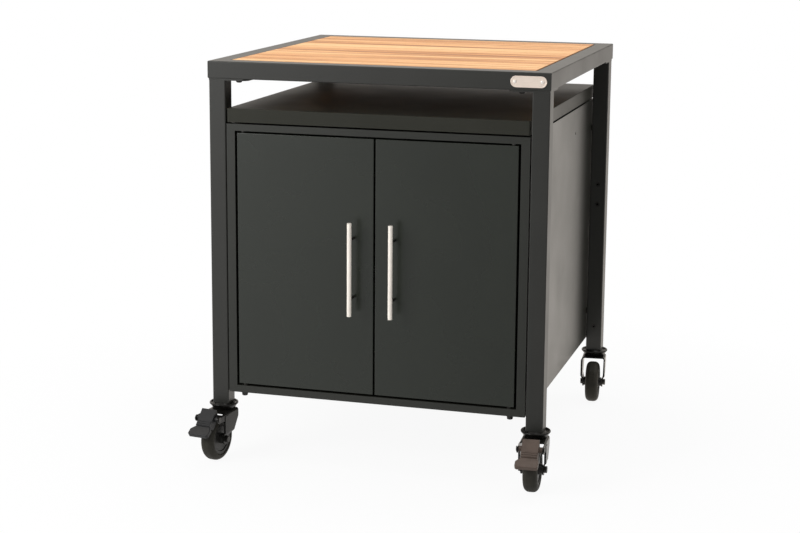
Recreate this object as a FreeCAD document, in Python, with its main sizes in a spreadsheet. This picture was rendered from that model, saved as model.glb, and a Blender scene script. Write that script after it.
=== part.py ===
import FreeCAD, Part
import math
import os

import Sketcher
from FreeCAD import Vector

# Grill cart with storage: a square-tube cart with a slatted worktop, a two-door cabinet hung between
# its legs and four swivel casters, the front two with brake pedals.
#
# The origin is on the floor under the middle of the frame. X runs to the right of someone who faces
# the doors, Y runs from the doors to the back, and Z runs up. Lengths are in millimetres.

# Driving sizes
SIZES = {
    # frame of square tube
    "frame_width": 760,
    "frame_depth": 760,
    "frame_height": 770,
    "tube_size": 38,
    "tube_wall": 2,
    "tube_corner": 2.5,
    "leg_inset": 2,
    # corner plates on top of the legs, and the bolts that hold them to the rails
    "plate_thickness": 4,
    "plate_reach": 51,
    "plate_taper": 9,
    "plate_inner_round": 7,
    "bolt_diameter": 8,
    "bolt_head_diameter": 14,
    "bolt_head_height": 5.5,
    "bolt_offset": 25,
    "bolt_depth": 12,
    # worktop insert
    "slat_count": 10,
    "slat_thickness": 18,
    "slat_gap": 2.4,
    "slat_edge": 1.2,
    "slat_corner": 3,
    "worktop_clearance": 2.5,
    "batten_count": 3,
    "batten_width": 45,
    "batten_thickness": 12,
    "batten_inset": 110,
    "ledge_width": 18,
    "ledge_thickness": 3,
    # bare plate on the front rail
    "badge_length": 77,
    "badge_height": 24,
    "badge_thickness": 1.6,
    "badge_rim_width": 1.8,
    "badge_rim_height": 0.6,
    "badge_from_side": 9,
    "badge_drop": 20,
    "badge_rivet_spacing": 58,
    "rivet_diameter": 3.2,
    "rivet_head_diameter": 7,
    "rivet_head_height": 1.4,
    "rivet_length": 6,
    "head_round_share": 0.8,
    # threaded inserts in the legs, for side shelves and hooks
    "insert_bore": 5,
    "insert_barrel": 8.8,
    "insert_flange": 11,
    "insert_flange_thickness": 0.8,
    "insert_length": 13,
    "insert_low": 62,
    "insert_pair_middle": 399,
    "insert_pair_spacing": 50,
    # cabinet
    "cabinet_sheet": 1.5,
    "cabinet_leg_gap": 2,
    "cabinet_rise": 30,
    "stile_width": 19,
    "head_height": 15,
    "sill_height": 16,
    "face_depth": 20,
    "cabinet_bolt_diameter": 6,
    "cabinet_bolt_head": 11,
    "cabinet_bolt_head_height": 3,
    "cabinet_bolt_reach": 8,
    "cabinet_bolt_inset": 29,
    "cabinet_bolt_margin": 70,
    "washer_diameter": 16,
    "foot_diameter": 15,
    "foot_taper": 1.5,
    "foot_height": 8.5,
    "foot_inset_side": 34,
    "foot_inset_front": 9,
    # open space for trays under the worktop, and the lid below it
    "tray_opening": 64,
    "lid_gap": 3.8,
    "lid_height": 30,
    "lid_leg_gap": 3,
    "lid_corner": 4,
    "lid_edge": 1.5,
    "lid_return": 34,
    "lid_pad_diameter": 12,
    # loose shelf
    "shelf_height": 300,
    "shelf_lip": 20,
    "shelf_clearance": 1,
    "shelf_from_doors": 12,
    "bracket_length": 60,
    "bracket_width": 14,
    "bracket_thickness": 2,
    "bracket_inset": 80,
    # magnetic catches
    "catch_width": 40,
    "catch_depth": 18,
    "catch_height": 32,
    "catch_from_middle": 22,
    # doors
    "door_side_reveal": 5,
    "door_top_reveal": 4,
    "door_bottom_reveal": 4.6,
    "door_gap": 3.8,
    "door_thickness": 20,
    "door_sheet": 1.2,
    "door_edge": 1.5,
    "door_flange": 12,
    "liner_gap": 0.4,
    "pivot_inset": 12,
    "pivot_diameter": 6,
    "pivot_depth": 14,
    "pivot_shoulder": 12,
    "pivot_spigot": 8,
    "bush_width": 18,
    "bush_height": 17,
    # door handles
    "handle_length": 205,
    "handle_diameter": 10,
    "handle_end_round": 0.8,
    "handle_standoff": 33,
    "handle_from_edge": 44.1,
    "handle_from_bottom": 180.4,
    "post_spacing": 130,
    "post_diameter": 6,
    "post_stud_diameter": 4,
    "post_stud_length": 8,
    # casters
    "wheel_diameter": 100,
    "wheel_width": 32,
    "core_diameter": 71,
    "core_width": 28,
    "core_lip": 6,
    "web_thickness": 25,
    "core_groove_width": 1.5,
    "core_groove_depth": 3,
    "core_draft": 1.5,
    "boss_diameter": 24,
    "tyre_shoulder": 12,
    "axle_diameter": 8,
    "axle_head_height": 5.3,
    "axle_nut_height": 6.5,
    "axle_hex": 13,
    "trail": 35,
    "axle_to_crown": 58.5,
    "fork_sheet": 3,
    "fork_width": 58,
    "fork_foot_width": 50,
    "fork_bend_high": 15,
    "fork_bend_low": 7,
    "fork_end_width": 25,
    "fork_rear_reach": 14,
    "fork_heel_reach": 30,
    "fork_heel_rise": 43,
    "fork_front_reach": 32,
    "fork_crown_reach": 44,
    "fork_rib_width": 16,
    "fork_rib_margin": 1.5,
    "fork_rib_height": 1.2,
    "raceway_height": 14.5,
    "raceway_diameter": 65,
    "raceway_sheet": 2,
    "raceway_bead": 4.5,
    "raceway_groove_width": 3.5,
    "raceway_groove_depth": 3,
    "raceway_neck": 45,
    "stem_diameter": 12,
    "stem_length": 25,
    "kingpin_diameter": 8,
    "kingpin_head": 18,
    "kingpin_head_height": 4,
    "race_width": 6,
    "race_height": 5,
    "plug_height": 30,
    # brake pedals
    "pedal_pivot_reach": 71,
    "pedal_pivot_rise": 54,
    "pedal_pin_diameter": 6,
    "pedal_pin_head": 11,
    "pedal_pin_head_height": 1.6,
    "pedal_ear_radius": 9,
    "pedal_width": 36,
    "pedal_wall": 3.2,
    "pedal_slope": 47,
    "pedal_upper": 19,
    "pedal_lower": 24,
    "pedal_standoff": 10.5,
    "pedal_lip_slope": 33,
    "pedal_lip_length": 26,
    "pedal_lip_depth": 9,
    "pedal_lip_side": 10,
    "pedal_lip_far_side": 3.5,
    "pedal_lip_round": 5,
    "pedal_lip_edge": 2,
    "pedal_cheek": 9,
    "pedal_cheek_round": 7.2,
    "pedal_boss": 12,
    "pedal_ridge": 2.6,
    "pedal_ridge_height": 1,
    "pedal_ridge_pitch": 4.6,
    "pedal_ridge_count": 3,
    "pedal_shoe_near": 9,
    "pedal_shoe_far": 21,
    "pedal_shoe_gap": 4.6,
    # how far each caster is turned from pointing straight to the front, in degrees
    "turn_front_left": -8,
    "turn_front_right": 3.5,
    "turn_rear_left": 9,
    "turn_rear_right": 5.5,
    # clearances
    "running_gap": 0.5,
    "end_gap": 0.3,
    "pin_gap": 0.05,
    "bolt_gap": 0.1,
}

document = FreeCAD.newDocument("grill_cart")
sheet = document.addObject("Spreadsheet::Sheet", "sizes")
for row, (alias, value) in enumerate(SIZES.items(), start=1):
    sheet.set(f"A{row}", alias)
    sheet.set(f"B{row}", str(value))
    sheet.setAlias(f"B{row}", alias)
document.recompute()


class Length:
    """A size on the sheet, or a sum of such sizes: the text of its expression and its value."""

    def __init__(self, text, value):
        self.text = text
        self.value = float(value)

    def __add__(self, other):
        other = as_length(other)
        return Length(f"({self.text} + {other.text})", self.value + other.value)

    def __sub__(self, other):
        other = as_length(other)
        return Length(f"({self.text} - {other.text})", self.value - other.value)

    def __mul__(self, other):
        other = as_length(other)
        return Length(f"({self.text} * {other.text})", self.value * other.value)

    def __truediv__(self, other):
        other = as_length(other)
        return Length(f"({self.text} / {other.text})", self.value / other.value)

    def __neg__(self):
        return Length(f"(0 - {self.text})", -self.value)

    def __radd__(self, other):
        return as_length(other) + self

    def __rsub__(self, other):
        return as_length(other) - self

    def __rmul__(self, other):
        return as_length(other) * self


def as_length(number):
    """Takes a plain number into an expression, and leaves a length as it is."""
    if isinstance(number, Length):
        return number
    return Length(f"{float(number):.6f}", number)


def cosine(angle):
    """The cosine of an angle in degrees."""
    return Length(f"cos({angle.text} * 1 deg)", math.cos(math.radians(angle.value)))


def sine(angle):
    """The sine of an angle in degrees."""
    return Length(f"sin({angle.text} * 1 deg)", math.sin(math.radians(angle.value)))


def root(square):
    """The square root of a worked-out value."""
    return Length(f"sqrt({square.text})", math.sqrt(square.value))


def smallest(*lengths):
    """The smallest of several values, for a round that its wall limits."""
    texts = "; ".join(length.text for length in lengths)
    return Length(f"min({texts})", min(length.value for length in lengths))


class Sizes:
    """Gives the sizes of the sheet by name."""

    def __getattr__(self, alias):
        return Length(f"sizes.{alias}", SIZES[alias])


size = Sizes()


# Sketches and features

nodes = []


def keep(piece, label):
    """Marks a finished sub-part, which is written to a file of its label's name."""
    piece.Label = label
    nodes.append(piece)
    return piece


def new_body(name):
    """Starts a body that may hold several separate solids."""
    body = document.addObject("PartDesign::Body", name)
    body.AllowCompound = True
    return body


def new_sketch(body, role, start=None, centre=None, tilt=None, about=Vector(0, 0, 1)):
    """Attaches a sketch to an origin plane of its body, moved along the normal by start.

    A tilt turns it by an angle about one of its own axes, or within its plane if none is given.

    The horizontal and vertical axes are X and Y on XY_Plane, X and Z on XZ_Plane, and Y and Z on
    YZ_Plane. The normals point to +Z, -Y and +X.
    """
    sketch = body.newObject("Sketcher::SketchObject", f"{body.Name}_sketch")
    plane = next(item for item in body.Origin.OriginFeatures if item.Role == role)
    sketch.AttachmentSupport = [(plane, "")]
    sketch.MapMode = "FlatFace"
    if tilt is not None:
        sketch.AttachmentOffset = FreeCAD.Placement(Vector(), FreeCAD.Rotation(about, tilt.value))
        sketch.setExpression("AttachmentOffset.Rotation.Angle", f"{tilt.text} * 1 deg")
    if centre is not None:
        sketch.setExpression("AttachmentOffset.Base.x", centre[0].text)
        sketch.setExpression("AttachmentOffset.Base.y", centre[1].text)
    if start is not None:
        sketch.setExpression("AttachmentOffset.Base.z", as_length(start).text)
    return sketch


def bind(sketch, constraint, length):
    """Adds a dimension to the sketch and ties it to its expression."""
    index = sketch.addConstraint(constraint)
    sketch.setExpression(f"Constraints[{index}]", length.text)


def fix_point(sketch, geometry, place, across, up):
    """Dimensions a point of the sketch from the sketch's origin."""
    bind(sketch, Sketcher.Constraint("DistanceX", -1, 1, geometry, place, across.value), across)
    bind(sketch, Sketcher.Constraint("DistanceY", -1, 1, geometry, place, up.value), up)


def draw_circle(sketch, across, up, radius):
    """Draws a dimensioned circle."""
    across, up = as_length(across), as_length(up)
    shape = Part.Circle(Vector(across.value, up.value, 0), Vector(0, 0, 1), radius.value)
    circle = sketch.addGeometry(shape, False)
    fix_point(sketch, circle, 3, across, up)
    bind(sketch, Sketcher.Constraint("Radius", circle, radius.value), radius)


def draw_loop(sketch, corners):
    """Draws a closed loop through corners (across, up), or (across, up, radius) for a round one."""
    count = len(corners)
    across = [as_length(corner[0]) for corner in corners]
    up = [as_length(corner[1]) for corner in corners]
    points = [Vector(u.value, v.value, 0) for u, v in zip(across, up)]
    reach, leave, arcs = [], [], []
    for number, here in enumerate(points):
        if len(corners[number]) == 2:
            reach.append(here)
            leave.append(here)
            arcs.append(None)
            continue
        radius = as_length(corners[number][2])
        back = (points[number - 1] - here).normalize()
        ahead = (points[(number + 1) % count] - here).normalize()
        half = back.getAngle(ahead) / 2
        trim = radius.value / math.tan(half)
        reach.append(here + back * trim)
        leave.append(here + ahead * trim)
        centre = here + (back + ahead).normalize() * (radius.value / math.sin(half))
        arcs.append((radius, centre, back.cross(ahead).z < 0))
    lines = []
    for number in range(count):
        edge = Part.LineSegment(leave[number], reach[(number + 1) % count])
        lines.append(sketch.addGeometry(edge, False))
    for number in range(count):
        before, after = lines[number - 1], lines[number]
        if arcs[number] is None:
            sketch.addConstraint(Sketcher.Constraint("Coincident", before, 2, after, 1))
            fix_point(sketch, after, 1, across[number], up[number])
            continue
        radius, centre, leftward = arcs[number]
        first, last = (reach[number], leave[number]) if leftward else (leave[number], reach[number])
        angles = [math.atan2(end.y - centre.y, end.x - centre.x) for end in (first, last)]
        circle = Part.Circle(centre, Vector(0, 0, 1), radius.value)
        arc = sketch.addGeometry(Part.ArcOfCircle(circle, angles[0], angles[1]), False)
        corner = sketch.addGeometry(Part.Point(points[number]), True)
        fix_point(sketch, corner, 1, across[number], up[number])
        sketch.addConstraint(Sketcher.Constraint("PointOnObject", corner, 1, before))
        sketch.addConstraint(Sketcher.Constraint("PointOnObject", corner, 1, after))
        near, far = (1, 2) if leftward else (2, 1)
        sketch.addConstraint(Sketcher.Constraint("Tangent", before, 2, arc, near))
        sketch.addConstraint(Sketcher.Constraint("Tangent", after, 1, arc, far))
        bind(sketch, Sketcher.Constraint("Radius", arc, radius.value), radius)


def rectangle(left, right, low, high, radius=None):
    """The corners of a rectangle, sharp or all rounded alike."""
    corners = [(left, low), (right, low), (right, high), (left, high)]
    if radius is None:
        return corners
    return [(across, up, radius) for across, up in corners]


def extrude(body, role, loops, start, length, cut=False, **where):
    """Pads, or cuts, the loops and circles from start for a length along the plane's normal."""
    before = body.Shape.Volume if body.Tip else 0
    sketch = new_sketch(body, role, start, **where)
    for loop in loops:
        if isinstance(loop, tuple):
            draw_circle(sketch, *loop)
        else:
            draw_loop(sketch, loop)
    kind = "PartDesign::Pocket" if cut else "PartDesign::Pad"
    feature = body.newObject(kind, f"{body.Name}_{'pocket' if cut else 'pad'}")
    feature.Profile = sketch
    feature.Type = "Length"
    feature.setExpression("Length", as_length(length).text)
    feature.Reversed = cut
    document.recompute()
    if cut and body.Shape.Volume >= before:
        raise ValueError(f"a cut of {body.Label} removes nothing")
    return feature


def revolve(body, corners):
    """Turns a profile of (radius, height) corners about the body's own Z axis."""
    sketch = new_sketch(body, "XZ_Plane")
    draw_loop(sketch, corners)
    feature = body.newObject("PartDesign::Revolution", f"{body.Name}_revolution")
    feature.Profile = sketch
    feature.ReferenceAxis = (sketch, ["V_Axis"])
    feature.Angle = 360
    document.recompute()
    return feature


def revolve_across(body, corners):
    """Turns a profile of (along, radius) corners about the body's own X axis."""
    sketch = new_sketch(body, "XY_Plane")
    draw_loop(sketch, corners)
    feature = body.newObject("PartDesign::Revolution", f"{body.Name}_revolution")
    feature.Profile = sketch
    feature.ReferenceAxis = (sketch, ["H_Axis"])
    feature.Angle = 360
    document.recompute()
    return feature


def round_edges(body, radius, chosen):
    """Rounds the edges of the body that the test picks."""
    base = body.Tip
    picked = [f"Edge{number}" for number, edge in enumerate(base.Shape.Edges, start=1) if chosen(edge)]
    feature = body.newObject("PartDesign::Fillet", f"{body.Name}_fillet")
    feature.Base = (base, picked)
    feature.setExpression("Radius", as_length(radius).text)
    document.recompute()
    return feature


def repeat(body, role, count, length):
    """Repeats the body's last pad or pocket along an axis of its origin."""
    original = body.Tip
    pattern = body.newObject("PartDesign::LinearPattern", f"{body.Name}_pattern")
    pattern.Originals = [original]
    axis = next(item for item in body.Origin.OriginFeatures if item.Role == role)
    pattern.Direction = (axis, [""])
    pattern.setExpression("Length", length.text)
    pattern.setExpression("Occurrences", count.text)
    body.Tip = pattern
    document.recompute()
    return pattern


def runs_along(edge, axis):
    """Tells whether a straight edge runs along the axis."""
    if not isinstance(edge.Curve, Part.Line):
        return False
    direction = edge.Vertexes[-1].Point - edge.Vertexes[0].Point
    return abs(abs(direction.normalize().dot(axis)) - 1) < 1e-6


def at_height(edge, height):
    """Tells whether every end of an edge lies at the height."""
    return all(abs(vertex.Z - height.value) < 1e-4 for vertex in edge.Vertexes)


def at_depth(edge, depth):
    """Tells whether every end of an edge lies at the place along Y."""
    return all(abs(vertex.Y - depth.value) < 1e-4 for vertex in edge.Vertexes)


def in_plane(edge, point, normal):
    """Tells whether every end of an edge lies in the plane through a point."""
    return all(abs((vertex.Point - point).dot(normal)) < 1e-4 for vertex in edge.Vertexes)


ALONG_X = Vector(1, 0, 0)
ALONG_Y = Vector(0, 1, 0)
ALONG_Z = Vector(0, 0, 1)


def place(body, x, y, z, axis=ALONG_Z, turn=0):
    """Stands a body at a point, turned about an axis by an angle in degrees."""
    turn = as_length(turn)
    body.Placement = FreeCAD.Placement(Vector(), FreeCAD.Rotation(axis, turn.value))
    for name, length in (("x", x), ("y", y), ("z", z)):
        body.setExpression(f"Placement.Base.{name}", as_length(length).text)
    if turn.text.startswith("sizes."):
        body.setExpression("Placement.Rotation.Angle", f"{turn.text} * 1 deg")


def mirrored(source, normal):
    """Mirrors a piece across the middle of the cart."""
    mirror = document.addObject("Part::Mirroring", f"{source.Name}_mirror")
    mirror.Source = source
    mirror.Normal = normal
    return mirror


def group(name, pieces):
    """Gathers separate solids in one sub-part."""
    compound = document.addObject("Part::Compound", name)
    compound.Links = pieces
    return compound


def left_and_right(pieces):
    """Gives the pieces and their mirror images on the other side."""
    return pieces + [mirrored(piece, ALONG_X) for piece in pieces]


def front_and_rear(pieces):
    """Gives the pieces and their mirror images at the other end."""
    return pieces + [mirrored(piece, ALONG_Y) for piece in pieces]


def four_corners(pieces):
    """Gives pieces of the front left corner and their images at the other corners."""
    return front_and_rear(left_and_right(pieces))


# Places that several pieces share

half_width = size.frame_width / 2
half_depth = size.frame_depth / 2
wheel_radius = size.wheel_diameter / 2
crown_bottom = wheel_radius + size.axle_to_crown
crown_top = crown_bottom + size.fork_sheet
leg_bottom = crown_top + size.raceway_height
frame_top = leg_bottom + size.frame_height
rail_bottom = frame_top - size.tube_size
leg_top = rail_bottom - size.plate_thickness

leg_outer_x = half_width - size.leg_inset
leg_outer_y = half_depth - size.leg_inset
leg_x = leg_outer_x - size.tube_size / 2
leg_y = leg_outer_y - size.tube_size / 2
leg_inner_x = leg_outer_x - size.tube_size
leg_inner_y = leg_outer_y - size.tube_size

cabinet_side = leg_inner_x - size.cabinet_leg_gap
cabinet_front = leg_outer_y
cabinet_inside = cabinet_side - size.cabinet_sheet
cabinet_bottom = leg_bottom + size.cabinet_rise
lid_top = rail_bottom - size.tray_opening
lid_bottom = lid_top - size.lid_height
cabinet_top = lid_bottom - size.lid_gap
face_back = cabinet_front - size.face_depth
panel_back = leg_outer_y - size.cabinet_sheet

# How far a cut reaches past the wall it goes through
PAST = 1

CORNERS = {"front_left": (-1, -1), "front_right": (1, -1), "rear_left": (-1, 1), "rear_right": (1, 1)}


# Top frame

opening_x = half_width - size.tube_size
opening_y = half_depth - size.tube_size
plate_bolt_x = leg_inner_x - size.bolt_offset
plate_bolt_y = leg_inner_y - size.bolt_offset
bolt_radius = size.bolt_diameter / 2
badge_x = half_width - size.badge_from_side - size.badge_length / 2
badge_z = frame_top - size.badge_drop
badge_rivet_places = [badge_x - size.badge_rivet_spacing / 2, badge_x + size.badge_rivet_spacing / 2]


def cross_rail(name, end):
    """The front (end -1) or rear (end 1) rail: square tube, mitred at both ends."""
    body = new_body(name)
    outer = [(-half_width, end * half_depth), (half_width, end * half_depth)]
    inner = [(opening_x, end * opening_y), (-opening_x, end * opening_y)]
    extrude(body, "XY_Plane", [outer + inner], rail_bottom, size.tube_size)
    round_edges(body, size.tube_corner, lambda edge: runs_along(edge, ALONG_X))
    near, far = sorted([end * (half_depth - size.tube_wall), end * (opening_y + size.tube_wall)],
                       key=lambda length: length.value)
    bore = rectangle(near, far, rail_bottom + size.tube_wall, frame_top - size.tube_wall)
    extrude(body, "YZ_Plane", [bore], -half_width - PAST, size.frame_width + 2 * PAST, cut=True)
    holes = [(side * plate_bolt_x, end * leg_y, bolt_radius + size.pin_gap) for side in (-1, 1)]
    extrude(body, "XY_Plane", holes, rail_bottom - PAST, size.tube_wall + 2 * PAST, cut=True)
    return body


def side_rail(name, side):
    """The left (side -1) or right (side 1) rail: square tube, mitred at both ends."""
    body = new_body(name)
    outer = [(side * half_width, -half_depth), (side * half_width, half_depth)]
    inner = [(side * opening_x, opening_y), (side * opening_x, -opening_y)]
    extrude(body, "XY_Plane", [outer + inner], rail_bottom, size.tube_size)
    round_edges(body, size.tube_corner, lambda edge: runs_along(edge, ALONG_Y))
    near, far = sorted([side * (half_width - size.tube_wall), side * (opening_x + size.tube_wall)],
                       key=lambda length: length.value)
    bore = rectangle(near, far, rail_bottom + size.tube_wall, frame_top - size.tube_wall)
    extrude(body, "XZ_Plane", [bore], -half_depth - PAST, size.frame_depth + 2 * PAST, cut=True)
    holes = [(side * leg_x, end * plate_bolt_y, bolt_radius + size.pin_gap) for end in (-1, 1)]
    extrude(body, "XY_Plane", holes, rail_bottom - PAST, size.tube_wall + 2 * PAST, cut=True)
    return body


front_rail = cross_rail("top_rail_front", -1)
rivet_holes = [(x, badge_z, size.rivet_diameter / 2 + size.pin_gap) for x in badge_rivet_places]
extrude(front_rail, "XZ_Plane", rivet_holes, half_depth - size.tube_wall - PAST,
        size.tube_wall + 2 * PAST, cut=True)
keep(front_rail, "top_rail_front")
keep(cross_rail("top_rail_rear", 1), "top_rail_rear")
keep(side_rail("top_rail_left", -1), "top_rail_left")
keep(side_rail("top_rail_right", 1), "top_rail_right")

# Ledges: angle strips welded inside the rails, which carry the worktop insert

ledge_top = frame_top - size.slat_thickness
ledge_bottom = ledge_top - size.ledge_width
ledge_under = ledge_top - size.ledge_thickness


def angle_section(wall):
    """The section of an angle strip on a wall that lies at a negative place."""
    web = wall + size.ledge_thickness
    toe = wall + size.ledge_width
    return [(wall, ledge_bottom), (web, ledge_bottom), (web, ledge_under),
            (toe, ledge_under), (toe, ledge_top), (wall, ledge_top)]


front_ledge = new_body("front_ledge")
extrude(front_ledge, "YZ_Plane", [angle_section(-opening_y)], -opening_x, 2 * opening_x)
left_ledge = new_body("left_ledge")
side_ledge_half = opening_y - size.ledge_width
extrude(left_ledge, "XZ_Plane", [angle_section(-opening_x)], -side_ledge_half, 2 * side_ledge_half)
ledges = front_and_rear([front_ledge]) + left_and_right([left_ledge])
keep(group("ledges", ledges), "insert_ledges")

# Worktop insert: slats that run left to right, held together by battens

slat_half_length = opening_x - size.worktop_clearance
slats_front = -opening_y + size.worktop_clearance
slats_depth = -2 * slats_front
slat_pitch = (slats_depth + size.slat_gap) / size.slat_count
slat_width = slat_pitch - size.slat_gap

slats = new_body("slats")
slat_outline = rectangle(-slat_half_length, slat_half_length, slats_front, slats_front + slat_width,
                         size.slat_corner)
extrude(slats, "XY_Plane", [slat_outline], ledge_top, size.slat_thickness)
repeat(slats, "Y_Axis", size.slat_count, slats_depth - slat_width)
round_edges(slats, size.slat_edge, lambda edge: at_height(edge, frame_top))
keep(slats, "worktop_slats")

battens = new_body("battens")
batten_half_length = side_ledge_half - size.worktop_clearance
batten_first = -opening_x + size.batten_inset
batten_outline = rectangle(batten_first - size.batten_width / 2, batten_first + size.batten_width / 2,
                           -batten_half_length, batten_half_length)
extrude(battens, "XY_Plane", [batten_outline], ledge_top - size.batten_thickness, size.batten_thickness)
repeat(battens, "X_Axis", size.batten_count, -2 * batten_first)
keep(battens, "worktop_battens")

# Bare plate on the front rail, with a raised rim, held by two rivets


def pill(inset):
    """The outline of the plate, a bar with round ends, drawn in by the inset."""
    half_length = size.badge_length / 2 - inset
    half_height = size.badge_height / 2 - inset
    return rectangle(badge_x - half_length, badge_x + half_length, badge_z - half_height,
                     badge_z + half_height, half_height - size.pin_gap)


badge = new_body("badge")
extrude(badge, "XZ_Plane", [pill(0)], half_depth, size.badge_thickness)
extrude(badge, "XZ_Plane", [pill(0), pill(size.badge_rim_width)], half_depth + size.badge_thickness,
        size.badge_rim_height)
extrude(badge, "XZ_Plane", rivet_holes, half_depth - PAST, size.badge_thickness + 2 * PAST, cut=True)
keep(badge, "badge_plate")


def dome_head(head_radius, head_height, shank_radius, shank_length):
    """The profile of a rivet or button-head bolt: the head above zero, the shank below."""
    return [(0, -shank_length), (shank_radius, -shank_length), (shank_radius, 0), (head_radius, 0),
            (head_radius, head_height, head_height * size.head_round_share), (0, head_height)]


badge_rivets = []
for rivet_x in badge_rivet_places:
    rivet = new_body("badge_rivet")
    revolve(rivet, dome_head(size.rivet_head_diameter / 2, size.rivet_head_height,
                             size.rivet_diameter / 2, size.rivet_length))
    place(rivet, rivet_x, -half_depth - size.badge_thickness, badge_z, ALONG_X, 90)
    badge_rivets.append(rivet)
keep(group("badge_rivet_pair", badge_rivets), "badge_rivets")

# Corner plates: welded on the leg tops, L-shaped with chamfered ends, bolted up into the rails

plate_end_x = leg_inner_x - size.plate_reach
plate_end_y = leg_inner_y - size.plate_reach
corner_plate = new_body("corner_plate")
plate_outline = [
    (-leg_outer_x, -leg_outer_y),
    (-plate_end_x - size.plate_taper, -leg_outer_y),
    (-plate_end_x, -leg_outer_y + size.plate_taper),
    (-plate_end_x, -leg_inner_y),
    (-leg_inner_x, -leg_inner_y, size.plate_inner_round),
    (-leg_inner_x, -plate_end_y),
    (-leg_outer_x + size.plate_taper, -plate_end_y),
    (-leg_outer_x, -plate_end_y - size.plate_taper),
]
extrude(corner_plate, "XY_Plane", [plate_outline], leg_top, size.plate_thickness)
plate_holes = [(-plate_bolt_x, -leg_y, bolt_radius + size.bolt_gap),
               (-leg_x, -plate_bolt_y, bolt_radius + size.bolt_gap)]
extrude(corner_plate, "XY_Plane", plate_holes, leg_top - PAST, size.plate_thickness + 2 * PAST, cut=True)
keep(group("corner_plate_set", four_corners([corner_plate])), "corner_plates")

corner_bolts = []
for bolt_x, bolt_y in ((-plate_bolt_x, -leg_y), (-leg_x, -plate_bolt_y)):
    bolt = new_body("corner_bolt")
    revolve(bolt, dome_head(size.bolt_head_diameter / 2, size.bolt_head_height, bolt_radius,
                            size.plate_thickness + size.bolt_depth))
    place(bolt, bolt_x, bolt_y, leg_top, ALONG_X, 180)
    corner_bolts.append(bolt)
keep(group("corner_bolt_set", four_corners(corner_bolts)), "corner_bolts")

# Legs: square tube with threaded inserts on the faces towards the other end of the cart

insert_heights = [
    leg_bottom + size.insert_low,
    leg_bottom + size.insert_pair_middle - size.insert_pair_spacing / 2,
    leg_bottom + size.insert_pair_middle + size.insert_pair_spacing / 2,
]
cabinet_bolt_y = leg_outer_y - size.cabinet_bolt_inset
cabinet_bolt_heights = [cabinet_bottom + size.cabinet_bolt_margin, cabinet_top - size.cabinet_bolt_margin]
cabinet_bolt_radius = size.cabinet_bolt_diameter / 2


def leg(name, side, end):
    """One leg at a corner given by the signs of its X and Y."""
    body = new_body(name)
    half = size.tube_size / 2
    bore = half - size.tube_wall
    x, y = side * leg_x, end * leg_y
    outer = rectangle(x - half, x + half, y - half, y + half, size.tube_corner)
    inner = rectangle(x - bore, x + bore, y - bore, y + bore)
    extrude(body, "XY_Plane", [outer, inner], leg_bottom, leg_top - leg_bottom)
    wall_middle = end * (leg_inner_y + size.tube_wall / 2)
    inserts = [(x, z, size.insert_barrel / 2 + size.pin_gap) for z in insert_heights]
    extrude(body, "XZ_Plane", inserts, -wall_middle - size.tube_wall, 2 * size.tube_wall, cut=True)
    wall_middle = side * (leg_inner_x + size.tube_wall / 2)
    bolts = [(end * cabinet_bolt_y, z, cabinet_bolt_radius + size.bolt_gap) for z in cabinet_bolt_heights]
    extrude(body, "YZ_Plane", bolts, wall_middle - size.tube_wall, 2 * size.tube_wall, cut=True)
    return body


for corner, (side, end) in CORNERS.items():
    keep(leg(f"leg_{corner}", side, end), f"leg_{corner}")

inserts = []
for insert_z in insert_heights:
    insert = new_body("leg_insert")
    bore, barrel, flange = size.insert_bore / 2, size.insert_barrel / 2, size.insert_flange / 2
    revolve(insert, [(bore, -size.insert_length), (barrel, -size.insert_length), (barrel, 0), (flange, 0),
                     (flange, size.insert_flange_thickness), (bore, size.insert_flange_thickness)])
    place(insert, -leg_x, -leg_inner_y, insert_z, ALONG_X, -90)
    inserts.append(insert)
keep(group("leg_insert_set", four_corners(inserts)), "leg_inserts")

# Plugs in the leg ends, threaded for the caster stems

plug = new_body("leg_plug")
plug_half = size.tube_size / 2 - size.tube_wall
stem_radius = size.stem_diameter / 2
plug_outline = rectangle(-leg_x - plug_half, -leg_x + plug_half, -leg_y - plug_half, -leg_y + plug_half)
extrude(plug, "XY_Plane", [plug_outline, (-leg_x, -leg_y, stem_radius + size.pin_gap)], leg_bottom,
        size.plug_height)
keep(group("leg_plug_set", four_corners([plug])), "leg_plugs")

# Caster stems: screwed into the plugs, with the kingpin below. The upper raceway is pressed to a seat
# under the leg, a groove round it and a beaded rim

raceway_radius = size.raceway_diameter / 2
neck_radius = size.raceway_neck / 2
bead_inner = raceway_radius - size.raceway_bead
bead_round = size.raceway_bead / 2 - size.pin_gap
groove_foot = bead_inner - size.raceway_groove_width
groove_floor = leg_bottom - size.raceway_groove_depth
bead_bottom = groove_floor - size.raceway_sheet
seat_radius = groove_foot - size.raceway_groove_depth
seat_under = seat_radius - size.raceway_sheet / 2
dish_top = leg_bottom - size.raceway_sheet
king_radius = size.kingpin_diameter / 2
head_radius = size.kingpin_head / 2
king_head_top = crown_bottom - size.end_gap
king_head_bottom = king_head_top - size.kingpin_head_height
race_outer = seat_under - size.end_gap
race_inner = race_outer - size.race_width
stem = new_body("caster_stem")
revolve(stem, [
    (0, leg_bottom + size.stem_length),
    (stem_radius, leg_bottom + size.stem_length),
    (stem_radius, leg_bottom),
    (seat_radius, leg_bottom),
    (groove_foot, groove_floor),
    (bead_inner, groove_floor),
    (bead_inner, leg_bottom, bead_round),
    (raceway_radius, leg_bottom, bead_round),
    (raceway_radius, bead_bottom, bead_round),
    (seat_under + size.raceway_groove_depth, bead_bottom),
    (seat_under, dish_top),
    (head_radius, dish_top),
    (head_radius, crown_top + size.running_gap),
    (king_radius, crown_top + size.running_gap),
    (king_radius, king_head_top),
    (head_radius, king_head_top),
    (head_radius, king_head_bottom),
    (0, king_head_bottom),
])
place(stem, -leg_x, -leg_y, 0)
keep(group("caster_stem_set", four_corners([stem])), "caster_stems")

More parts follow.
